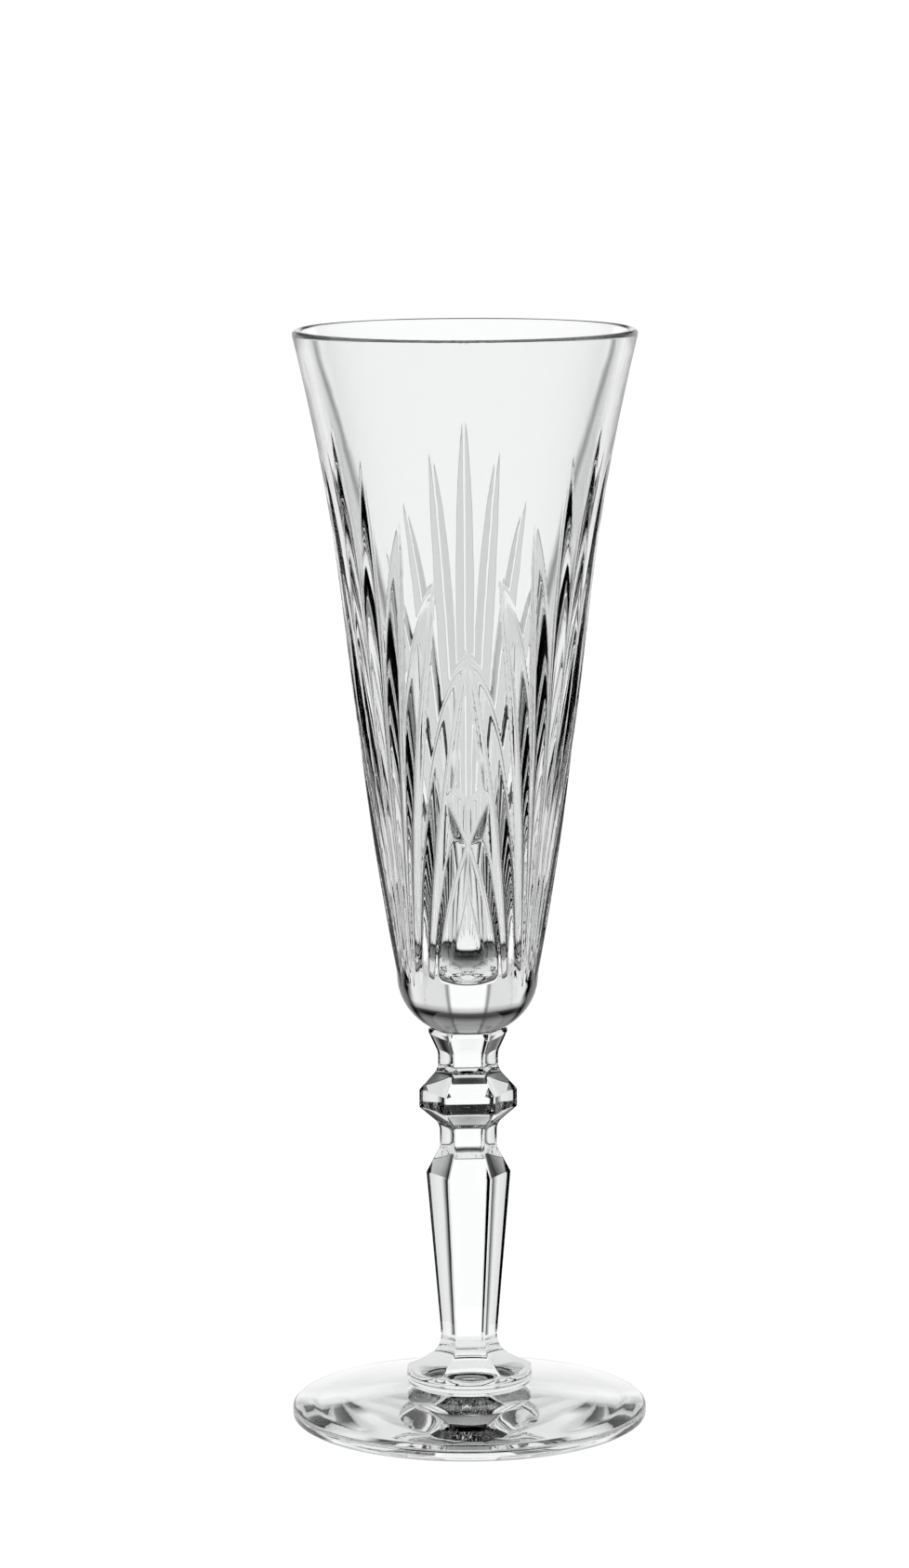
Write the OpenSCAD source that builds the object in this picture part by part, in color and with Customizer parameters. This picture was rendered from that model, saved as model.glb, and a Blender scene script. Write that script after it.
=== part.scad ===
// Champagne flute in clear pressed crystal: a tall cut bowl with a solid ball at its base,
// a six-sided stem with a knop, and a round foot. The axis is Z and the foot rests on Z = 0.

/* [Bowl] */
// Outside diameter of the rim
rim_d = 67; // [56:0.5:82]
// Height of the bowl from its seat on the stem to the rim
bowl_h = 137.7; // [112:0.1:168]
// Outside diameter of the solid ball at the base of the bowl
ball_d = 27.8; // [23:0.1:33.5]
// Height of the ball's widest part above the seat
ball_h = 10.7; // [9:0.1:13]
// Distance of the ball's flat seat in from the edges of the lip that carries it
seat_inset = 0.05; // [0:0.05:0.3]
// Wall at the rim
wall_rim = 1.8; // [1.4:0.1:2.4]
// Wall at the ball, where the hollow begins
wall_low = 6.8; // [5.6:0.1:8.2]
// Height of the hollow's lowest point above the seat
hollow_z = 10; // [8.3:0.1:12]
// Height of the hollow's round bottom
hollow_round = 13; // [10.8:0.1:15.6]
// Outward pull on the lower half of the side, away from a straight cone
belly = 1.6; // [0.8:0.1:2]
// Inward pull on the upper half of the side
waist_in = 4.2; // [2:0.1:5]

/* [Cuts] */
// Height of the lowest cuts above the seat
cut_root_z = 16.7; // [15:0.1:20]
// Distance of the tallest cut's tip below the rim
cut_top_gap = 18; // [14:0.5:26]
// Depth of a cut at its middle
cut_depth = 1.1; // [0.6:0.1:1.5]
// Angle between the two faces of a cut
cut_angle = 120; // [100:5:130]

/* [Stem] */
// Width across the corners of the lip that carries the bowl
lip_d = 15.6; // [13:0.1:18.8]
// Thickness of the lip
lip_h = 0.7; // [0.4:0.1:1.5]
// Height from the middle of the upper neck up to the lip
collar_h = 5.7; // [4.5:0.1:7]
// Width across the corners of the upper neck
neck_d = 11.9; // [10:0.1:14]
// Height from the knop up to the middle of the upper neck
knop_over_h = 5.9; // [4.8:0.1:7.5]
// Width across the corners of the knop
knop_d = 19.3; // [16:0.1:23.5]
// Height of the knop's upright band
knop_band_h = 3.5; // [2.5:0.1:4.5]
// Height from the middle of the lower neck up to the knop
knop_under_h = 6.4; // [5:0.1:8]
// Width across the corners of the lower neck
lower_neck_d = 11.3; // [9.4:0.1:13.6]
// Height from the shoulder up to the middle of the lower neck
shoulder_h = 6.8; // [5.5:0.1:8.2]
// Width across the corners of the shoulder
shoulder_d = 16.7; // [14:0.1:20]
// Height of the tapered shaft
shaft_h = 32.6; // [26:0.1:45]
// Width across the corners of the ankle, at the bottom of the shaft
ankle_d = 11.2; // [9.3:0.1:13.4]
// Height of the flare between the ankle and the button
flare_h = 7; // [5.5:0.1:9]
// Diameter of the round button at the bottom of the stem
button_d = 25; // [20:0.1:30]
// Height of the button
button_h = 3.2; // [2.6:0.1:4]
// Radius of the button's edges
button_round = 1.2; // [0.6:0.1:1.3]

/* [Foot] */
// Diameter of the foot
foot_d = 70.4; // [58:0.1:86]
// Height of the foot at its middle
foot_h = 6.5; // [5.2:0.1:8]
// Thickness of the foot's upright edge
foot_edge = 2.4; // [2:0.1:2.9]
// Radius of the foot's edges
foot_round = 0.7; // [0.4:0.1:0.9]
// Width of the flat ring that the foot rests on
ring_w = 4; // [2.5:0.1:6]
// Height of the hollow under the foot
foot_hollow = 1.5; // [0.5:0.1:2.2]

/* [Hidden] */

SIDES = 6;
FANS = 3;
ROUND = 96;
stem_z = foot_h;
stem_h = button_h + flare_h + shaft_h + shoulder_h + knop_under_h + knop_band_h
    + knop_over_h + collar_h + lip_h;
bowl_z = stem_z + stem_h;
rim_r = rim_d / 2;
ball_r = ball_d / 2;
// Shares of the side's height at which the two pulls act.
BELLY_AT = 0.51;
WAIST_AT = 0.6;
SIDE_STEPS = 16;
ARC_STEPS = 6;

// The bowl's side as a cubic curve [radius, height above the seat] for t from 0 to 1.
side_top = bowl_h - wall_rim / 2;
side_h = side_top - ball_h;
function cone_r(s) = ball_r + (rim_r - ball_r) * s;
side_1 = [cone_r(BELLY_AT) + belly, ball_h + side_h * BELLY_AT];
side_2 = [cone_r(WAIST_AT) - waist_in, ball_h + side_h * WAIST_AT];
function side(t) = pow(1 - t, 3) * [ball_r, ball_h]
    + 3 * t * pow(1 - t, 2) * side_1
    + 3 * t * t * (1 - t) * side_2
    + pow(t, 3) * [rim_r, side_top];

// The curve's parameter at height z, found by halving, and the outside radius there.
function side_t(z, lo = 0, hi = 1, n = 16) = n == 0 ? (lo + hi) / 2
    : side((lo + hi) / 2)[1] < z ? side_t(z, (lo + hi) / 2, hi, n - 1)
    : side_t(z, lo, (lo + hi) / 2, n - 1);
function outer_r(z) = side(side_t(z))[0];

// The wall thins evenly from the ball to the rim.
function wall(t) = wall_low + (wall_rim - wall_low) * t;

// Half outline of the ball's underside, from the seat to its widest part. The seat stays
// within the lip's six flats.
seat_d = lip_d * cos(180 / SIDES) - 2 * seat_inset;
ball_b = ball_h / sqrt(1 - pow(seat_d / ball_d, 2));
ball_start = acos(seat_d / ball_d);
ball_side = [for (i = [0 : ARC_STEPS - 1]) let (a = ball_start * (1 - i / ARC_STEPS))
    [ball_r * cos(a), ball_h - ball_b * sin(a)]];
outer_side = [for (i = [0 : SIDE_STEPS]) side(i / SIDE_STEPS)];
rim_edge = [for (i = [1 : 2 * ARC_STEPS - 1]) let (a = 90 * i / ARC_STEPS)
    [rim_r - wall_rim / 2 * (1 - cos(a)), side_top + wall_rim / 2 * sin(a)]];
hollow_t = side_t(hollow_z + hollow_round);
inner_side = [for (i = [SIDE_STEPS : -1 : 0])
    let (t = hollow_t + (1 - hollow_t) * i / SIDE_STEPS) side(t) - [wall(t), 0]];
hollow_r = outer_r(hollow_z + hollow_round) - wall(hollow_t);
hollow_end = [for (i = [1 : ARC_STEPS]) let (a = 90 * i / ARC_STEPS)
    [hollow_r * cos(a), hollow_z + hollow_round * (1 - sin(a))]];

// Each ray of a fan: [angle from the fan's axis at the tip, height share of the tip,
// angle at the root, height share of the root], where shares run up the cut band.
RAYS = [
    [0, 1, 0, 0.16],
    [16, 0.94, 4.5, 0.13],
    [31, 0.83, 8, 0.1],
    [45.5, 0.72, 12, 0.06],
    [61, 0.6, 20, 0]
];
// The cut that, with its mirror image, crosses below each arch: as a ray, but with its
// angles from the arch's centre.
CROSS = [-15, 0.35, 24.5, 0];
cut_band = bowl_h - cut_top_gap - cut_root_z;
function cut_z(share) = cut_root_z + cut_band * share;
function on_bowl(a, z, depth) = let (r = outer_r(z) - depth) [r * cos(a), r * sin(a), z];

// A straight V groove from point p to point q, open away from the axis.
CUT_TOP = 4;
CUT_LAP = 0.2;
module groove(p, q) {
    run = q - p;
    dir = run / norm(run);
    mid = (p + q) / 2;
    out = [mid[0], mid[1], 0] / norm([mid[0], mid[1]]);
    open = out - dir * (out * dir);
    tilt = acos(dir[2]);
    turn = atan2(dir[1], dir[0]);
    along = [cos(tilt) * cos(turn), cos(tilt) * sin(turn), -sin(tilt)];
    across = [-sin(turn), cos(turn), 0];
    half_w = CUT_TOP * tan(cut_angle / 2);
    translate(p - dir * CUT_LAP) rotate([0, tilt, turn])
        rotate([0, 0, atan2(open * across, open * along)])
            linear_extrude(norm(run) + 2 * CUT_LAP)
                polygon([[0, 0], [CUT_TOP, -half_w], [CUT_TOP, half_w]]);
}

// One ray, cut as two straight grooves that meet at its deep middle. The middle bows out
// a little from the straight line between root and tip.
BOW = 0.04;
module ray(axis, tip_a, tip_share, root_a, root_share) {
    tip_z = cut_z(tip_share);
    root_z = cut_z(root_share);
    mid_a = (tip_a + root_a) / 2 + (tip_a - root_a) * BOW;
    mid_z = (tip_z + root_z) / 2;
    middle = on_bowl(axis + mid_a, mid_z, cut_depth);
    groove(on_bowl(axis + root_a, root_z, 0), middle);
    groove(middle, on_bowl(axis + tip_a, tip_z, 0));
}

module fan(axis) {
    for (r = RAYS) {
        ray(axis, r[0], r[1], r[2], r[3]);
        if (r[0] > 0) ray(axis, -r[0], r[1], -r[2], r[3]);
    }
}

module crossing(centre) {
    for (way = [-1, 1]) ray(centre, way * CROSS[0], CROSS[1], way * CROSS[2], CROSS[3]);
}

module bowl() {
    color([0.87, 0.91, 0.92, 0.5]) translate([0, 0, bowl_z]) difference() {
        rotate_extrude($fn = ROUND)
            polygon(concat([[0, 0]], ball_side, outer_side, rim_edge, inner_side, hollow_end));
        for (i = [0 : FANS - 1]) {
            fan(90 + i * 360 / FANS);
            crossing(30 + i * 360 / FANS);
        }
    }
}

// Stem stations, as heights above the stem's bottom.
ankle_z = button_h + flare_h;
shoulder_z = ankle_z + shaft_h;
lower_neck_z = shoulder_z + shoulder_h;
band_z = lower_neck_z + knop_under_h;
band_top = band_z + knop_band_h;
neck_z = band_top + knop_over_h;
lip_z = neck_z + collar_h;

// Both necks run upright between bends. Each share is how much of its height slopes.
SHOULDER_SLOPE = 0.76;
KNOP_UNDER_SLOPE = 0.53;
KNOP_OVER_SLOPE = 0.71;
COLLAR_SLOPE = 0.7;
// The flare's corners stand back a little from the button's edge, and its curve starts just
// inside the button and steepens towards the ankle.
CORNER_GAP = 0.3;
FLARE_SINK = 0.5;
FLARE_POWER = 3;
FLARE_STEPS = 6;
flare_r = button_d / 2 - CORNER_GAP;
flare_z = button_h - FLARE_SINK;
flare_line = [for (i = [0 : FLARE_STEPS]) let (u = i / FLARE_STEPS)
    [ankle_d / 2 + (flare_r - ankle_d / 2) * pow(1 - u, FLARE_POWER),
     flare_z + (ankle_z - flare_z) * u]];
// Half outline of the stem as [corner radius, height].
stem_line = concat(
    [[flare_r, button_h / 2]],
    flare_line,
    [[shoulder_d / 2, shoulder_z],
     [lower_neck_d / 2, shoulder_z + shoulder_h * SHOULDER_SLOPE],
     [lower_neck_d / 2, band_z - knop_under_h * KNOP_UNDER_SLOPE],
     [knop_d / 2, band_z],
     [knop_d / 2, band_top],
     [neck_d / 2, band_top + knop_over_h * KNOP_OVER_SLOPE],
     [neck_d / 2, lip_z - collar_h * COLLAR_SLOPE],
     [lip_d / 2, lip_z],
     [lip_d / 2, lip_z + lip_h]]
);

// The outline turned into six flat sides, with one flat to the front.
module six_sided_stem() {
    rotate_extrude($fn = SIDES)
        polygon(concat([[0, stem_line[0][1]]], stem_line, [[0, stem_h]]));
}

module button_disc(h) {
    rotate_extrude($fn = ROUND) polygon(concat(
        [[0, 0]],
        [for (i = [0 : ARC_STEPS]) let (a = -90 + 90 * i / ARC_STEPS)
            [button_d / 2 - button_round * (1 - cos(a)), button_round * (1 + sin(a))]],
        [for (i = [0 : ARC_STEPS]) let (a = 90 * i / ARC_STEPS)
            [button_d / 2 - button_round * (1 - cos(a)), h - button_round * (1 - sin(a))]],
        [[0, h]]));
}

// The stem: six flat sides on a round button.
module stem() {
    color([0.84, 0.88, 0.9, 0.5]) translate([0, 0, stem_z]) {
        button_disc(button_h);
        six_sided_stem();
    }
}

// The foot: flat resting ring, upright edge, gently domed top and a flat seat.
foot_r = foot_d / 2;
seat_r = button_d / 2;
dome_pull = [(foot_r + seat_r) / 2 + 1.2, (foot_h + foot_edge) / 2 + 0.4];
function dome(t) = pow(1 - t, 2) * [foot_r - foot_round, foot_edge]
    + 2 * t * (1 - t) * dome_pull + t * t * [seat_r, foot_h];
hollow_foot_r = foot_r - foot_round - ring_w;
module foot() {
    color([0.86, 0.9, 0.91, 0.5]) rotate_extrude($fn = ROUND) polygon(concat(
        [for (i = [0 : SIDE_STEPS]) let (u = i / SIDE_STEPS)
            [hollow_foot_r * u, foot_hollow * (1 - u * u)]],
        [for (i = [0 : ARC_STEPS]) let (a = -90 + 90 * i / ARC_STEPS)
            [foot_r - foot_round * (1 - cos(a)), foot_round * (1 + sin(a))]],
        [for (i = [0 : ARC_STEPS]) let (a = 90 * i / ARC_STEPS)
            [foot_r - foot_round * (1 - cos(a)), foot_edge - foot_round * (1 - sin(a))]],
        [for (i = [1 : SIDE_STEPS]) dome(i / SIDE_STEPS)],
        [[0, foot_h]]));
}

bowl();
stem();
foot();
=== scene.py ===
"""Champagne flute in clear crystal: the visible bowl, stem and foot, worked out around the frame.

The glass and the camera are in millimetres until a mesh is written, and the table and the studio
in metres. Named angles are in degrees. Azimuths run round +Z from the front, -Y, to +X.
"""
import math
import bpy
import numpy as np
from mathutils import Matrix, Vector


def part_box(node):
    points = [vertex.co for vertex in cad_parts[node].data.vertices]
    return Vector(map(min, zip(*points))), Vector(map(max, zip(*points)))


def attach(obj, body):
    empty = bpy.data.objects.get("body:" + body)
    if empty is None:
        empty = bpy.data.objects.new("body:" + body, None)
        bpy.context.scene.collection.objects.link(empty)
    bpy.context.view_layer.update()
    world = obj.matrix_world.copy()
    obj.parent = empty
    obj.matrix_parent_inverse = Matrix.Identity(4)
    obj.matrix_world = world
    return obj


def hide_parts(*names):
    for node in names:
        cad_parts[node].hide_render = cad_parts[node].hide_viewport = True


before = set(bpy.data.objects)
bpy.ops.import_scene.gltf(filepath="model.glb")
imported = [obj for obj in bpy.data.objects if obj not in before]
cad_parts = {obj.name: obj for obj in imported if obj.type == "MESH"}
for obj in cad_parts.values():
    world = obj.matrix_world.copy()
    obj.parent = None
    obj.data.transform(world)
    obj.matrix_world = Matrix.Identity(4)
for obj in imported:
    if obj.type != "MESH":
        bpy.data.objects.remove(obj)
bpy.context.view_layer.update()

MM = 0.001


# ---------------------------------------------------------------- sizes from the frame
def frame_box(node):
    """The node's low and high corners in millimetres."""
    low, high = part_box(node)
    return np.array(low) / MM, np.array(high) / MM


BOWL_LOW, BOWL_HIGH = frame_box("bowl")
STEM_HIGH = frame_box("stem")[1]
FOOT_HIGH = frame_box("foot")[1]
SEAT_Z = BOWL_LOW[2]
RIM_Z = BOWL_HIGH[2]
RIM_R = BOWL_HIGH[0]
CREASE_Z = FOOT_HIGH[2]
FOOT_R = FOOT_HIGH[0]
BUTTON_R = STEM_HIGH[0]
SEAT_SHARE = 0.5  # a fused seat has a row of points at this share of its radius

# ---------------------------------------------------------------- sizes of the bowl
BALL_R = 13.9  # solid ball at the base
BALL_H = 10.7  # its widest part above the seat
SEAT_R = 6.7  # flat seat on the stem
WALL_RIM, WALL_LOW = 1.8, 6.8  # wall at the rim and at the ball
HOLLOW_H = 10.0  # lowest point of the hollow above the seat
HOLLOW_ROUND = 13.0  # height of the hollow's round bottom
# The side's lower part is pulled out and its upper part in, at these shares of its height.
BELLY_PULL, WAIST_PULL = 1.6, 4.2
BELLY_AT, WAIST_AT = 0.51, 0.6

FACET_TILT = 30.0  # how far each face of a cut leans from the surface it is cut into
FANS = 3
# Each ray of a fan: azimuth from the fan's axis at tip and root, height at tip and root, how
# the azimuth eases up the ray, and the depth of the valley at its middle.
RAYS = (
    (0.0, 0.0, 199.0, 91.0, 1.0, 1.3),
    (15.5, 4.0, 192.0, 90.0, 1.0, 1.3),
    (31.0, 8.0, 181.0, 89.0, 1.0, 1.3),
    (45.6, 9.5, 169.5, 87.0, 1.0, 1.35),
    (60.0, 20.0, 155.5, 85.0, 0.87, 1.45),
)
# The cut that crosses its mirror image below an arch, in the same form, from the arch's centre.
CROSS = (-19.0, 26.0, 131.0, 90.0, 1.35, 1.9)
VALLEY_SOFT, EDGE_SOFT, RIDGE_SOFT = 0.5, 0.22, 0.3  # depths over which creases are rounded
CUT_TOP = 200.0  # just over the tip of the longest ray, where the close rows of points end
FACE_LIMIT = 0.2  # cosine of the angle past which a cut's face no longer meets the side
NO_CUT = 1e3  # a radius too large to cut anything
SLOPE_STEP = 0.05  # the side's slopes are taken this far to each side, in degrees and in height


def smooth_min(a, b, soft):
    """The lower of a and b, rounded off where they are within soft of each other."""
    near = np.maximum(soft - np.abs(a - b), 0.0) / soft
    return np.minimum(a, b) - near * near * soft / 4


def smooth_max(a, b, soft):
    """The higher of a and b, rounded off where they are within soft of each other."""
    return -smooth_min(-a, -b, soft)


# ---------------------------------------------------------------- outlines
def side_curve(t):
    """Radius and height of the bowl's side: a cubic Bezier curve from the ball to the rim."""
    t = np.asarray(t, float)
    top = RIM_Z - WALL_RIM / 2
    ball = SEAT_Z + BALL_H
    low = (BALL_R + (RIM_R - BALL_R) * BELLY_AT + BELLY_PULL, ball + (top - ball) * BELLY_AT)
    high = (BALL_R + (RIM_R - BALL_R) * WAIST_AT - WAIST_PULL, ball + (top - ball) * WAIST_AT)
    knots = ((BALL_R, ball), low, high, (RIM_R, top))
    shares = ((1 - t) ** 3, 3 * t * (1 - t) ** 2, 3 * t * t * (1 - t), t ** 3)
    return [sum(w * k[i] for w, k in zip(shares, knots)) for i in (0, 1)]


SIDE_T = np.linspace(0, 1, 2000)
SIDE_R, SIDE_Z = side_curve(SIDE_T)
# The ball's underside is an ellipse from the seat to the ball's widest part.
BALL_STEPS = 40
BALL_B = BALL_H / math.sqrt(1 - (SEAT_R / BALL_R) ** 2)
BALL_A = np.radians(np.linspace(-math.degrees(math.acos(SEAT_R / BALL_R)), 0, BALL_STEPS))
OUT_R = np.concatenate([BALL_R * np.cos(BALL_A[:-1]), SIDE_R])
OUT_Z = np.concatenate([SEAT_Z + BALL_H + BALL_B * np.sin(BALL_A[:-1]), SIDE_Z])


def outer_r(z):
    """Outside radius of the uncut bowl at height z, from the seat to the rim."""
    return np.interp(z, OUT_Z, OUT_R)


def wall(z):
    """The wall thins evenly along the side's curve from the ball to the rim."""
    return WALL_LOW + (WALL_RIM - WALL_LOW) * np.interp(z, SIDE_Z, SIDE_T)


# ---------------------------------------------------------------- meshes
def tube_mesh(name, points, materials, joints=(), breaks=(), known=None):
    """A closed skin over a grid of points, row by row from the bottom pole to the top pole.

    Every row runs once round the axis, and the first and last rows close on a pole at their
    own centre. Normals are the cross product of the differences along both ways of the grid;
    rows on the two sides of a break don't share them, and known gives a first row and the
    normals from there on. Faces between the two row numbers of a joint take the second material.
    """
    rows, cols = points.shape[:2]
    poles = [points[i].mean(0) for i in (0, -1)]
    verts = np.vstack([points.reshape(-1, 3), poles])
    around = np.roll(points, -1, 1) - np.roll(points, 1, 1)
    normal = np.zeros_like(points)
    edges = [0, *breaks, rows]
    for lo, hi in zip(edges[:-1], edges[1:]):
        part = slice(lo, hi)
        if hi - lo == 1:
            normal[part] = (0, 0, -1 if lo == 0 else 1)
            continue
        along = np.gradient(points[part], axis=0)
        normal[part] = np.cross(around[part], along)
    if known is not None:
        first, slopes = known
        normal[first:first + len(slopes)] = slopes
    length = np.linalg.norm(normal, axis=2, keepdims=True)
    normal = normal / np.maximum(length, 1e-12)
    index = np.arange(rows * cols).reshape(rows, cols)
    right = np.roll(index, -1, 1)
    quads = np.stack([index[:-1], right[:-1], right[1:], index[1:]], -1).reshape(-1, 4)
    low_pole = np.stack([right[0], index[0], np.full(cols, rows * cols)], -1)
    high_pole = np.stack([index[-1], right[-1], np.full(cols, rows * cols + 1)], -1)
    faces = quads.tolist() + low_pole.tolist() + high_pole.tolist()
    mesh = bpy.data.meshes.new(name)
    mesh.from_pydata((verts * MM).tolist(), [], faces)
    slots = np.zeros(len(faces), np.int32)
    row_of = np.concatenate([np.repeat(np.arange(rows - 1), cols),
                             np.full(cols, -1), np.full(cols, rows - 1)])
    for lo, hi in joints:
        slots[(row_of >= lo) & (row_of < hi)] = 1
    mesh.polygons.foreach_set("material_index", slots)
    mesh.polygons.foreach_set("use_smooth", np.ones(len(faces), bool))
    for material in materials:
        mesh.materials.append(material)
    normals = np.vstack([normal.reshape(-1, 3), [[0, 0, -1], [0, 0, 1]]])
    mesh.normals_split_custom_set_from_vertices(normals.tolist())
    mesh.update()
    piece = bpy.data.objects.new(name, mesh)
    bpy.context.collection.objects.link(piece)
    return piece


def round_rows(r, z, cols):
    """Rows of points round the axis for an outline of radii and heights."""
    a = np.radians(np.arange(cols) * 360.0 / cols)
    r, z = np.broadcast_arrays(np.asarray(r, float).reshape(len(z), -1), np.reshape(z, (-1, 1)))
    r = np.broadcast_to(r, (len(z), cols))
    z = np.broadcast_to(z, (len(z), cols))
    return np.stack([r * np.sin(a), -r * np.cos(a), z], -1)


# ---------------------------------------------------------------- bowl
def cut_radius(azimuth, z, ray, centre, way):
    """Radius of the two flat faces of one cut, in every direction and at every height.

    The valley's azimuth eases from root to tip and its depth is a flat arch over that run.
    Both faces keep one direction, FACET_TILT to each side of the azimuth at the cut's middle,
    so each is a plane seen from the axis at radius p / cos(azimuth - its direction).
    """
    tip_a, root_a, tip_z, root_z, easing, depth = ray
    s = (z - root_z) / (tip_z - root_z)
    run = np.clip(s, 0, 1) ** easing
    valley_a = centre + way * (root_a + (tip_a - root_a) * run)
    valley_r = outer_r(z) - depth * (1 - np.abs(2 * s - 1) ** 3)
    middle = centre + way * (root_a + (tip_a - root_a) * 0.5 ** easing)
    faces = []
    for side in (-1, 1):
        facing = middle + side * FACET_TILT
        turn = np.cos(np.radians(azimuth - facing))
        reach = valley_r * np.cos(np.radians(valley_a - facing))
        faces.append(np.where(turn > FACE_LIMIT, reach / np.maximum(turn, FACE_LIMIT), NO_CUT))
    return smooth_max(faces[0], faces[1], VALLEY_SOFT)


def cut_bowl_radius(azimuth, z):
    """The side's radius after every cut of the three fans and of the crossings is taken away."""
    cuts = np.full(np.broadcast(azimuth, z).shape, NO_CUT)
    for fan in range(FANS):
        axis = 60.0 + fan * 360.0 / FANS
        for ray in RAYS:
            for way in ((-1, 1) if ray[0] else (1,)):
                cuts = smooth_min(cuts, cut_radius(azimuth, z, ray, axis, way), RIDGE_SOFT)
        for way in (-1, 1):
            centre = axis - 60.0
            cuts = smooth_min(cuts, cut_radius(azimuth, z, CROSS, centre, way), RIDGE_SOFT)
    return smooth_min(outer_r(z) + 0 * azimuth, cuts, EDGE_SOFT)


def arc(start, stop, count):
    """Sines and cosines of evenly spaced angles."""
    a = np.radians(np.linspace(start, stop, count))
    return np.sin(a), np.cos(a)


def side_radius(azimuth, z):
    """The cut side's radius, the same for azimuths a full turn apart."""
    turns = [cut_bowl_radius(azimuth + turn, z) for turn in (-360, 0, 360)]
    return np.minimum(np.minimum(turns[0], turns[1]), turns[2])


def make_bowl(glass, joint):
    """The bowl: seat, round solid ball, cut side, fire-polished rim and smooth hollow.

    The side is (r sin a, -r cos a, z) and its normal (r sin a - r' cos a, -r cos a - r' sin a,
    -r dr/dz), where r' is dr/da and both slopes come from the cut side's own radius.
    """
    cols = 480
    seat = round_rows([SEAT_R * SEAT_SHARE], [SEAT_Z], cols)
    ball_z = OUT_Z[:BALL_STEPS - 1:4]
    cut_z = np.linspace(OUT_Z[BALL_STEPS - 1], CUT_TOP, 152)
    plain_z = np.linspace(CUT_TOP + 1.5, RIM_Z - WALL_RIM / 2, 5)
    z = np.concatenate([ball_z, cut_z, plain_z])[:, None]
    azimuth = ((np.arange(cols) * 360.0 / cols + 180) % 360 - 180)[None, :]
    radius = side_radius(azimuth, z)
    side = round_rows(radius, z[:, 0], cols)
    step = SLOPE_STEP
    slope_a = side_radius(azimuth + step, z) - side_radius(azimuth - step, z)
    slope_a = slope_a / math.radians(2 * step)
    slope_z = (side_radius(azimuth, z + step) - side_radius(azimuth, z - step)) / (2 * step)
    sin_a, cos_a = np.sin(np.radians(azimuth)), np.cos(np.radians(azimuth))
    normals = np.stack([radius * sin_a - slope_a * cos_a, -radius * cos_a - slope_a * sin_a,
                        -radius * slope_z], -1)
    sin_r, cos_r = arc(0, 180, 10)
    rim_z = RIM_Z - WALL_RIM / 2 * (1 - sin_r[1:-1])
    rim = round_rows(RIM_R - WALL_RIM / 2 * (1 - cos_r[1:-1]), rim_z, cols)
    inner_z = np.linspace(RIM_Z - WALL_RIM / 2, SEAT_Z + HOLLOW_H + HOLLOW_ROUND, 14)
    inner = round_rows(outer_r(inner_z) - wall(inner_z), inner_z, cols)
    hollow_r = outer_r(inner_z[-1]) - wall(inner_z[-1])
    sin_h, cos_h = arc(0, 84, 8)
    hollow = round_rows(hollow_r * cos_h[1:], inner_z[-1] - HOLLOW_ROUND * sin_h[1:], cols)
    points = np.concatenate([seat, side, rim, inner, hollow])
    piece = tube_mesh("cut_bowl", points, [glass, joint], joints=[(-1, 1)], breaks=(1,),
                      known=(2, normals[1:-1]))
    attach(piece, "root")
    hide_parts("bowl")
    return piece


# ---------------------------------------------------------------- stem
EDGE_ROUND = 0.5  # rounding of the six long edges
PANEL_TILT = 6.0  # each panel is hollowed so that it meets its edges at this slope
BEND_CORNER, BEND_HOLLOW = 0.6, 3.0  # rounding of the outline's corners and hollow bends
BEND_LEAST = 14.0  # bends gentler than this stay as they are
BEND_SHARE = 0.45  # a bend's curve takes at most this share of the run to the next bend
STEM_TURN = 1.9  # the six-sided stem stands turned a little against the bowl's pattern
# Heights of the bends in the stem's outline from the ankle up, and radii out to the corners.
ANKLE_Z, SHOULDER_Z, LOWER_NECK_Z, LOWER_NECK_TOP = 16.7, 49.3, 54.5, 59.1
BAND_Z, BAND_TOP, NECK_Z, NECK_TOP, LIP_Z = 62.5, 66.0, 70.2, 73.6, 77.6
ANKLE, SHOULDER, LOWER_NECK, KNOP, NECK, LIP = 5.6, 8.35, 5.65, 9.67, 5.95, 7.8
FLARE_Z = 9.7  # lowest point of the flare
FLARE_PAST = 1.5  # how far the flare's corners run on past the button
BUTTON_H, BUTTON_ROUND = 1.6, 0.9  # half the height and the depth of the bulge of the button's edge
BUTTON_LOW, BUTTON_HIGH = 70, 40  # how far the bulge turns under and over the middle of the edge
BUTTON_TRIM = 0.15  # the flare is trimmed this far inside the button
BASE_IN = 0.1  # the button's flat base stands this far inside the foot of its edge
TRIM_SOFT = 0.8  # depth over which a trimmed corner is rounded
BUTTON_CORNER = 30.0  # a hexagon with its corners this far out is trimmed all the way round


def flare_outline(count):
    """The flare runs out past the button and steepens, as a cubic, towards the ankle."""
    u = np.linspace(0, 1, count)
    r = ANKLE + (BUTTON_R + FLARE_PAST - ANKLE) * (1 - u) ** 3
    return r, FLARE_Z + (ANKLE_Z - FLARE_Z) * u


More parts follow.
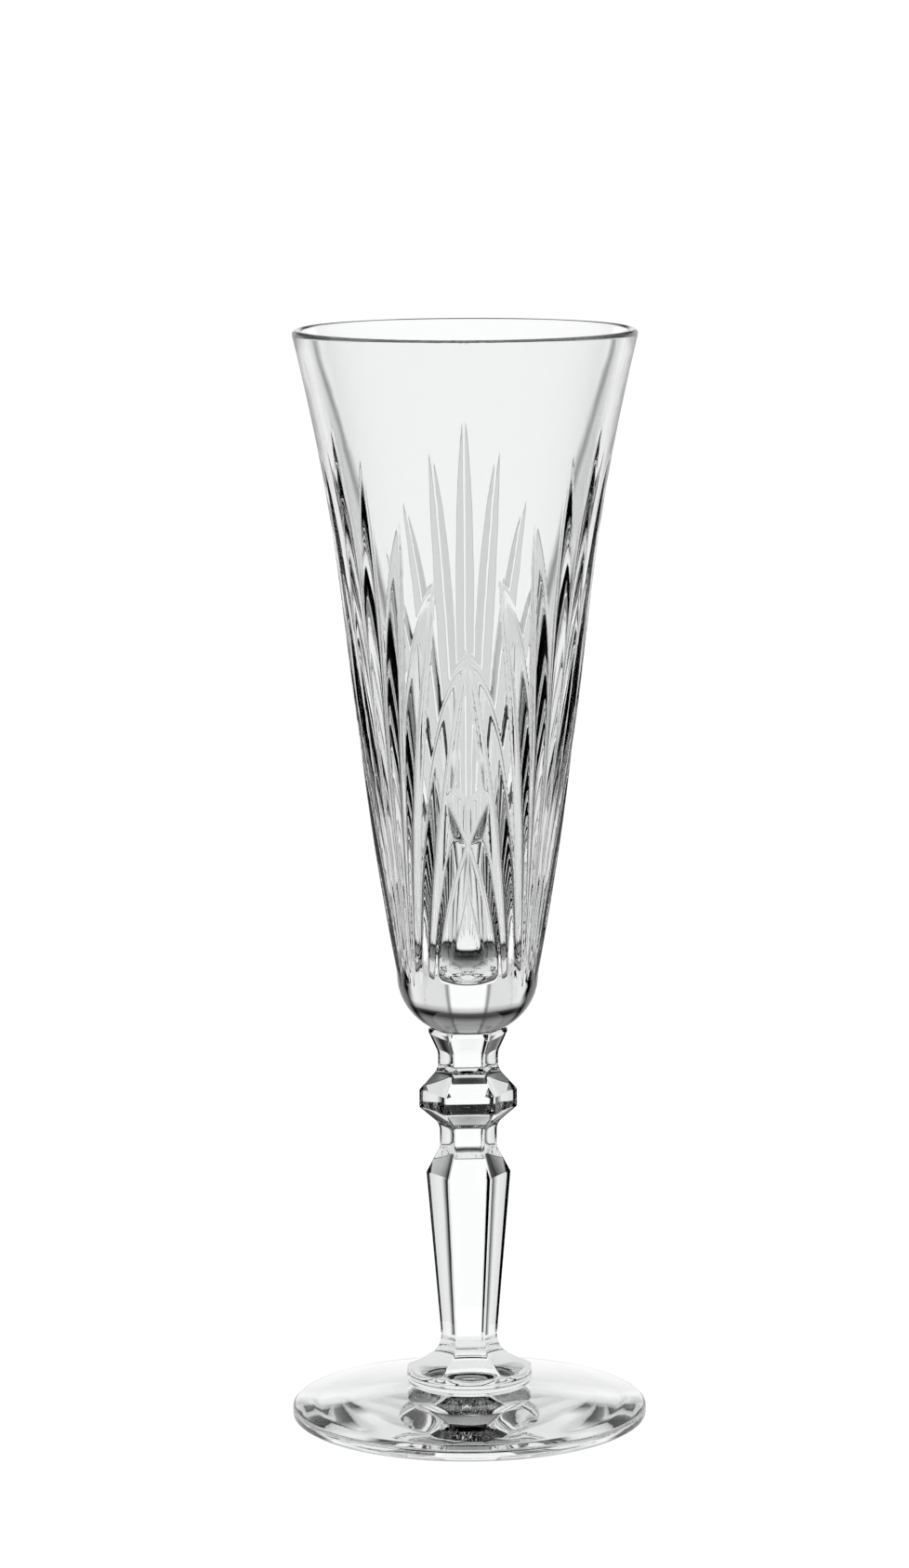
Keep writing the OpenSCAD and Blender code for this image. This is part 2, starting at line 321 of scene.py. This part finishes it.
def rounded(r, z, corner, hollow, count=7):
    """The polyline with its sharp corners and hollow bends curved to about the given radii."""
    out_r, out_z = [r[0]], [z[0]]
    for i in range(1, len(r) - 1):
        p, a, b = (np.array((r[j], z[j])) for j in (i, i - 1, i + 1))
        to_a, to_b = a - p, b - p
        la, lb = np.linalg.norm(to_a), np.linalg.norm(to_b)
        turn = math.acos(np.clip(-(to_a @ to_b) / (la * lb), -1, 1))
        if turn < math.radians(BEND_LEAST):
            out_r.append(p[0])
            out_z.append(p[1])
            continue
        radius = corner if to_a[1] * to_b[0] > to_a[0] * to_b[1] else hollow
        cut = min(radius * math.tan(turn / 2), BEND_SHARE * la, BEND_SHARE * lb)
        pa, pb = p + to_a / la * cut, p + to_b / lb * cut
        for t in np.linspace(0, 1, count):
            q = (1 - t) ** 2 * pa + 2 * t * (1 - t) * p + t * t * pb
            out_r.append(q[0])
            out_z.append(q[1])
    return np.array(out_r + [r[-1]]), np.array(out_z + [z[-1]])


def stem_outline():
    """Corner radius and height from the ankle to the top of the lip, straight between bends."""
    shaft_r = np.linspace(ANKLE, SHOULDER, 14)
    shaft_z = np.linspace(ANKLE_Z, SHOULDER_Z, 14)
    bends = ((LOWER_NECK, LOWER_NECK_Z), (LOWER_NECK, LOWER_NECK_TOP), (KNOP, BAND_Z),
             (KNOP, BAND_TOP), (NECK, NECK_Z), (NECK, NECK_TOP), (LIP, LIP_Z), (LIP, SEAT_Z))
    return (np.concatenate([shaft_r, [r for r, z in bends]]),
            np.concatenate([shaft_z, [z for r, z in bends]]))


def six_sided(corner_r, z, turn=STEM_TURN, trim=None):
    """Rows of a hexagon with a panel to the front and rounded corners that reach out to corner_r.

    Each corner is an arc of EDGE_ROUND about a centre on the corner's spoke. Each panel dips
    between two arcs by its width times tan(PANEL_TILT) s (1 - s), where s runs across it, and
    its points crowd towards its edges.
    """
    arc_steps = np.linspace(-30 - PANEL_TILT, 30 + PANEL_TILT, 9)
    shares = np.array([0.03, 0.08, 0.15, 0.25, 0.37, 0.5, 0.63, 0.75, 0.85, 0.92, 0.97])
    corner_r = np.asarray(corner_r, float)[:, None]
    panels = []
    for side in range(6):
        spoke = math.radians(30 + 60 * side + turn)
        centre = corner_r - EDGE_ROUND
        a = np.radians(30 + 60 * side + turn + arc_steps)[None, :]
        x = centre * math.sin(spoke) + EDGE_ROUND * np.sin(a)
        y = -centre * math.cos(spoke) - EDGE_ROUND * np.cos(a)
        nxt = math.radians(90 + 60 * side + turn)
        start = math.radians(60 + 60 * side + turn - PANEL_TILT)
        end_x = centre * math.sin(nxt) + EDGE_ROUND * math.sin(start)
        end_y = -centre * math.cos(nxt) - EDGE_ROUND * math.cos(start)
        step_x, step_y = end_x - x[:, -1:], end_y - y[:, -1:]
        dip = math.tan(math.radians(PANEL_TILT)) * shares * (1 - shares)
        flat_x = x[:, -1:] + step_x * shares - step_y * dip
        flat_y = y[:, -1:] + step_y * shares + step_x * dip
        panels.append(np.stack([np.hstack([x, flat_x]), np.hstack([y, flat_y])], -1))
    xy = np.concatenate(panels, 1)
    if trim is not None:
        r = np.linalg.norm(xy, axis=2)
        trimmed = smooth_min(r, np.asarray(trim)[:, None] + 0 * r, TRIM_SOFT)
        xy = xy * (trimmed / r)[..., None]
    zz = np.broadcast_to(np.asarray(z, float)[:, None, None], xy.shape[:2] + (1,))
    return np.concatenate([xy, zz], -1)


def make_stem(glass, joint):
    """The stem: round button, flare, tapered shaft, shoulder, knop between two necks, and lip."""
    r, z = stem_outline()
    r, z = rounded(r, z, BEND_CORNER, BEND_HOLLOW)
    shaft = six_sided(r[1:-1], z[1:-1])
    # the flare's corners run on past the button, which trims them round
    flare_r, flare_z = flare_outline(26)
    flare = six_sided(flare_r, flare_z, trim=np.full(26, BUTTON_R - BUTTON_TRIM))
    sin_e, cos_e = arc(-BUTTON_LOW, BUTTON_HIGH, 9)
    edge_z = CREASE_Z + BUTTON_H + BUTTON_H * sin_e
    edge_r = BUTTON_R - BUTTON_ROUND + BUTTON_ROUND * cos_e
    edge = six_sided(np.full(9, BUTTON_CORNER), edge_z, trim=edge_r)
    a = np.arctan2(edge[..., 0], -edge[..., 1])
    edge = np.stack([edge_r[:, None] * np.sin(a), -edge_r[:, None] * np.cos(a), edge[..., 2]], -1)
    base_r = edge_r[0] - BASE_IN
    base = edge[:1] * np.array([base_r / edge_r[0], base_r / edge_r[0], 0]) + [0, 0, CREASE_Z]
    base_in = base * [SEAT_SHARE, SEAT_SHARE, 1]
    # a small bevel takes off the lip's top edge
    top = six_sided(np.array([LIP - 0.05, LIP - 0.25]), np.array([SEAT_Z - 0.03, SEAT_Z]))
    b = np.arctan2(top[-1, :, 0], -top[-1, :, 1])
    seat = [np.stack([s * np.sin(b), -s * np.cos(b), 0 * b + SEAT_Z], -1)
            for s in (SEAT_R, SEAT_R * SEAT_SHARE)]
    points = np.concatenate([base_in, base, edge, flare[:-1], shaft, top, np.array(seat)])
    last = len(points)
    piece = tube_mesh("hex_stem", points, [glass, joint],
                      joints=[(-1, 1), (last - 2, last)], breaks=(1,))
    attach(piece, "root")
    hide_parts("stem")
    return piece


# ---------------------------------------------------------------- foot
FOOT_EDGE, FOOT_ROUND = 2.4, 0.7  # the edge's thickness and its rounding
RING_W = 4.0  # width of the flat resting ring
FOOT_HOLLOW = 1.5  # height of the hollow under the foot
DOME_OUT, DOME_UP = 1.2, 0.4  # pull on the top's curve from halfway between its two ends


def make_foot(glass, joint):
    """The foot: slightly hollow underside, resting ring, upright edge and gently domed top."""
    cols = 288
    ring_r = FOOT_R - FOOT_ROUND - RING_W
    u = np.linspace(0.04, 1, 26)
    under = round_rows(ring_r * u, FOOT_HOLLOW * (1 - u * u), cols)
    sin_e, cos_e = arc(-90, 90, 14)
    edge_z = np.where(sin_e < 0, FOOT_ROUND * (1 + sin_e), FOOT_EDGE - FOOT_ROUND * (1 - sin_e))
    edge = round_rows(FOOT_R - FOOT_ROUND * (1 - cos_e), edge_z, cols)
    seat_r = BUTTON_R - BUTTON_ROUND + BUTTON_ROUND * math.cos(math.radians(BUTTON_LOW)) - BASE_IN
    t = np.linspace(0, 1, 30)[1:]
    pull = ((FOOT_R + seat_r) / 2 + DOME_OUT, (CREASE_Z + FOOT_EDGE) / 2 + DOME_UP)
    top_r = (1 - t) ** 2 * (FOOT_R - FOOT_ROUND) + 2 * t * (1 - t) * pull[0] + t * t * seat_r
    top_z = (1 - t) ** 2 * FOOT_EDGE + 2 * t * (1 - t) * pull[1] + t * t * CREASE_Z
    top = round_rows(top_r, top_z, cols)
    seat = round_rows([seat_r * SEAT_SHARE], [CREASE_Z], cols)
    points = np.concatenate([under, edge, top, seat])
    last = len(points)
    piece = tube_mesh("round_foot", points, [glass, joint],
                      joints=[(last - 2, last)], breaks=(last - 1,))
    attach(piece, "root")
    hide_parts("foot")
    return piece


# ---------------------------------------------------------------- materials
def node_group(name, inputs, outputs):
    """An empty shader group with float inputs, as name to default, and outputs, as name to kind."""
    group = bpy.data.node_groups.new(name, "ShaderNodeTree")
    for key, value in inputs.items():
        socket = group.interface.new_socket(key, in_out="INPUT", socket_type="NodeSocketFloat")
        socket.default_value = value
    for key, kind in outputs.items():
        group.interface.new_socket(key, in_out="OUTPUT", socket_type=kind)
    return group, group.nodes.new("NodeGroupInput"), group.nodes.new("NodeGroupOutput")


def ripple_group():
    """Fire-polished skin: a slow ripple of the given size in millimetres, as a normal."""
    group, src, out = node_group("fire_polish", {"Ripple Size": 9.0, "Strength": 0.1},
                                 {"Normal": "NodeSocketVector"})
    nodes, links = group.nodes, group.links
    where = nodes.new("ShaderNodeTexCoord")
    slow = nodes.new("ShaderNodeTexNoise")
    slow.inputs["Detail"].default_value = 1.0
    scale = nodes.new("ShaderNodeMath")
    scale.operation = "DIVIDE"
    scale.inputs[0].default_value = 1000.0
    links.new(src.outputs["Ripple Size"], scale.inputs[1])
    links.new(where.outputs["Object"], slow.inputs["Vector"])
    links.new(scale.outputs[0], slow.inputs["Scale"])
    bump = nodes.new("ShaderNodeBump")
    bump.inputs["Distance"].default_value = 0.0004
    links.new(src.outputs["Strength"], bump.inputs["Strength"])
    links.new(slow.outputs["Fac"], bump.inputs["Height"])
    links.new(bump.outputs["Normal"], out.inputs["Normal"])
    return group


def polish_group():
    """Handling haze: roughness that rises a little in soft cloudy patches."""
    group, src, out = node_group("polish", {"Clean": 0.0, "Hazy": 0.03},
                                 {"Roughness": "NodeSocketFloat"})
    nodes, links = group.nodes, group.links
    where = nodes.new("ShaderNodeTexCoord")
    cloud = nodes.new("ShaderNodeTexNoise")
    cloud.inputs["Scale"].default_value = 45.0
    cloud.inputs["Detail"].default_value = 4.0
    links.new(where.outputs["Object"], cloud.inputs["Vector"])
    shape = nodes.new("ShaderNodeMapRange")
    shape.inputs["From Min"].default_value = 0.5
    shape.inputs["From Max"].default_value = 0.75
    links.new(cloud.outputs["Fac"], shape.inputs["Value"])
    links.new(src.outputs["Clean"], shape.inputs["To Min"])
    links.new(src.outputs["Hazy"], shape.inputs["To Max"])
    links.new(shape.outputs["Result"], out.inputs["Roughness"])
    return group


RIPPLE = ripple_group()
POLISH = polish_group()
GLASS_IOR = 1.53


def crystal(name, colour, ripple_size, ripple, haze):
    """Clear crystal with a fire-polish ripple and a trace of handling haze."""
    material = bpy.data.materials.new(name)
    material.use_nodes = True
    nodes, links = material.node_tree.nodes, material.node_tree.links
    shader = nodes["Principled BSDF"]
    shader.inputs["Base Color"].default_value = (*colour, 1)
    shader.inputs["Transmission Weight"].default_value = 1.0
    shader.inputs["IOR"].default_value = GLASS_IOR
    shader.inputs["Metallic"].default_value = 0.0
    skin = nodes.new("ShaderNodeGroup")
    skin.node_tree = RIPPLE
    skin.inputs["Ripple Size"].default_value = ripple_size
    skin.inputs["Strength"].default_value = ripple
    polish = nodes.new("ShaderNodeGroup")
    polish.node_tree = POLISH
    polish.inputs["Hazy"].default_value = haze
    links.new(skin.outputs["Normal"], shader.inputs["Normal"])
    links.new(polish.outputs["Roughness"], shader.inputs["Roughness"])
    return material


def fused_joint():
    """The fused seat between two pieces, where light passes straight on."""
    material = bpy.data.materials.new("fused_joint")
    material.use_nodes = True
    nodes, links = material.node_tree.nodes, material.node_tree.links
    nodes.remove(nodes["Principled BSDF"])
    clear = nodes.new("ShaderNodeBsdfTransparent")
    links.new(clear.outputs[0], nodes["Material Output"].inputs["Surface"])
    return material


def glow(name, strength):
    """A plain lit card."""
    material = bpy.data.materials.new(name)
    material.use_nodes = True
    nodes, links = material.node_tree.nodes, material.node_tree.links
    nodes.remove(nodes["Principled BSDF"])
    lit = nodes.new("ShaderNodeEmission")
    lit.inputs["Strength"].default_value = strength
    links.new(lit.outputs[0], nodes["Material Output"].inputs["Surface"])
    return material


TABLE_R, TABLE_Z = 0.06, -0.0004
TABLE_WHITE = 1.06  # brightness to the camera
TABLE_DIM = 0.9  # brightness to every other ray
# Brightness of the curtain by share of its half sweep to either side, and of its rise above or
# below the middle. A dark strip stands on each side of the white middle, and the far sides and a
# band above and below are black.
CURTAIN_SIDES = ((0.001, 1.08), (0.15, 1.08), (0.175, 0.35), (0.185, 0.35), (0.21, 0.8),
                 (0.5, 0.84), (0.58, 0.95), (0.67, 0.97), (0.73, 0.45), (0.79, 0.0), (0.9, 0.0))
CURTAIN_RISE = ((0.001, 1.0), (0.38, 1.0), (0.46, 0.55), (0.51, 0.05), (0.57, 0.0), (0.68, 0.25),
                (0.999, 0.4))


def table_light():
    """A table top that is white to the camera and dimmer in what the glass gathers from it."""
    material = glow("table_light", 1.0)
    nodes, links = material.node_tree.nodes, material.node_tree.links
    path = nodes.new("ShaderNodeLightPath")
    level = nodes.new("ShaderNodeMapRange")
    level.inputs["To Min"].default_value = TABLE_DIM
    level.inputs["To Max"].default_value = TABLE_WHITE
    links.new(path.outputs["Is Camera Ray"], level.inputs["Value"])
    links.new(level.outputs["Result"], nodes["Emission"].inputs["Strength"])
    return material


def curtain_light():
    """The curtain's brightness, from its two ramps along the axes of its UV map."""
    material = glow("curtain_light", 1.0)
    nodes, links = material.node_tree.nodes, material.node_tree.links
    where = nodes.new("ShaderNodeUVMap")
    split = nodes.new("ShaderNodeSeparateXYZ")
    both = nodes.new("ShaderNodeMath")
    both.operation = "MULTIPLY"
    links.new(where.outputs["UV"], split.inputs["Vector"])
    for i, (way, steps) in enumerate((("X", CURTAIN_SIDES), ("Y", CURTAIN_RISE))):
        ramp = nodes.new("ShaderNodeValToRGB")
        for at, level in steps:
            stop = ramp.color_ramp.elements.new(at)
            stop.color = (level, level, level, 1)
        ramp.color_ramp.elements.remove(ramp.color_ramp.elements[0])
        ramp.color_ramp.elements.remove(ramp.color_ramp.elements[-1])
        links.new(split.outputs[way], ramp.inputs["Fac"])
        links.new(ramp.outputs["Color"], both.inputs[i])
    links.new(both.outputs[0], nodes["Emission"].inputs["Strength"])
    return material


# ---------------------------------------------------------------- studio
VIEW_TURN = -0.6  # the camera stands this far round from the front
CAMERA_FAR = 985.0  # from the flute's axis
CAMERA_HIGH = 281.6  # above the table
CAMERA_DOWN = 8.92  # how far it looks down
CAMERA_YAW = 0.14  # turned this far to the left, so that the flute stands right of the middle
CAMERA_ROLL = -0.27
LENS = 116.92


def make_camera():
    """A long lens a little above the rim, looking slightly down."""
    data = bpy.data.cameras.new("camera")
    data.lens = LENS
    data.sensor_width = 36.0
    data.clip_start = 0.01
    camera = bpy.data.objects.new("camera", data)
    bpy.context.collection.objects.link(camera)
    a = math.radians(VIEW_TURN)
    place = Vector((math.sin(a) * CAMERA_FAR, -math.cos(a) * CAMERA_FAR, CAMERA_HIGH))
    camera.location = place * MM
    turn = math.radians(VIEW_TURN + CAMERA_YAW)
    basis = Matrix.Rotation(turn, 4, "Z") @ Matrix.Rotation(math.radians(90 - CAMERA_DOWN), 4, "X")
    camera.rotation_euler = (basis @ Matrix.Rotation(math.radians(CAMERA_ROLL), 4, "Z")).to_euler()
    bpy.context.scene.camera = camera
    return camera


# The studio stands round the middle of the picture and turns with the camera.
STUDIO_R = 1.5
CURTAIN_TO = 66.0  # half the sweep of the curtain behind the flute
CURTAIN_UP = 50.0
FLAG_TO, FLAG_UP = 115.0, 60.0
WALL_DOWN = -65.0
WALL_COLS, WALL_ROWS = 33, 25
ROOM = 0.0


def band(name, turns, rises, material, owner):
    """Part of a round wall about the flute, turns and rises in degrees from straight behind it."""
    a = np.radians(np.linspace(turns[0], turns[1], WALL_COLS))[None, :]
    e = np.radians(np.linspace(rises[0], rises[1], WALL_ROWS))[:, None]
    x, y, z = np.broadcast_arrays(np.sin(a), np.cos(a), np.tan(e))
    x, y, z = STUDIO_R * x, STUDIO_R * y, STUDIO_R * z
    verts = np.stack([x, z, -y - CAMERA_FAR * MM], -1).reshape(-1, 3)
    index = np.arange(WALL_ROWS * WALL_COLS).reshape(WALL_ROWS, WALL_COLS)
    corners = [index[:-1, :-1], index[:-1, 1:], index[1:, 1:], index[1:, :-1]]
    faces = np.stack(corners, -1).reshape(-1, 4)
    mesh = bpy.data.meshes.new(name)
    mesh.from_pydata(verts.tolist(), [], faces.tolist())
    mesh.materials.append(material)
    shares = np.broadcast_arrays(np.abs(np.degrees(a)) / CURTAIN_TO,
                                 np.abs(np.degrees(e)) / CURTAIN_UP)
    uv = mesh.uv_layers.new(name="UVMap")
    uv.data.foreach_set("uv", np.stack(shares, -1).reshape(-1, 2)[faces.ravel()].ravel())
    piece = bpy.data.objects.new(name, mesh)
    bpy.context.collection.objects.link(piece)
    piece.parent = owner
    return piece


def make_studio(camera):
    """A white table top, a bright curtain behind, black flags at the sides and a dark room."""
    scene = bpy.context.scene
    world = bpy.data.worlds.new("room")
    scene.world = world
    world.use_nodes = True
    world.node_tree.nodes["Background"].inputs["Color"].default_value = (ROOM, ROOM, ROOM, 1)
    scene.view_settings.view_transform = "Standard"
    scene.cycles.max_bounces = 32
    scene.cycles.transmission_bounces = 32
    scene.cycles.glossy_bounces = 32
    curtain = curtain_light()
    black = glow("black_flag", 0.0)
    band("curtain", (-CURTAIN_TO, CURTAIN_TO), (WALL_DOWN, CURTAIN_UP), curtain, camera)
    band("flag_left", (-FLAG_TO, -CURTAIN_TO), (WALL_DOWN, FLAG_UP), black, camera)
    band("flag_right", (CURTAIN_TO, FLAG_TO), (WALL_DOWN, FLAG_UP), black, camera)
    a = np.radians(np.arange(64) * 360 / 64)
    disc = np.stack([TABLE_R * np.cos(a), TABLE_R * np.sin(a), np.full(64, TABLE_Z)], -1)
    mesh = bpy.data.meshes.new("table")
    mesh.from_pydata(disc.tolist(), [], [tuple(range(64))])
    mesh.materials.append(table_light())
    table = bpy.data.objects.new("table", mesh)
    bpy.context.collection.objects.link(table)


camera = make_camera()
make_studio(camera)
cut_glass = crystal("cut_crystal", (0.985, 0.99, 0.99), 9.0, 0.05, 0.01)
pressed_glass = crystal("pressed_crystal", (0.98, 0.988, 0.988), 7.0, 0.06, 0.01)
joint = fused_joint()
make_bowl(cut_glass, joint)
make_stem(pressed_glass, joint)
make_foot(pressed_glass, joint)
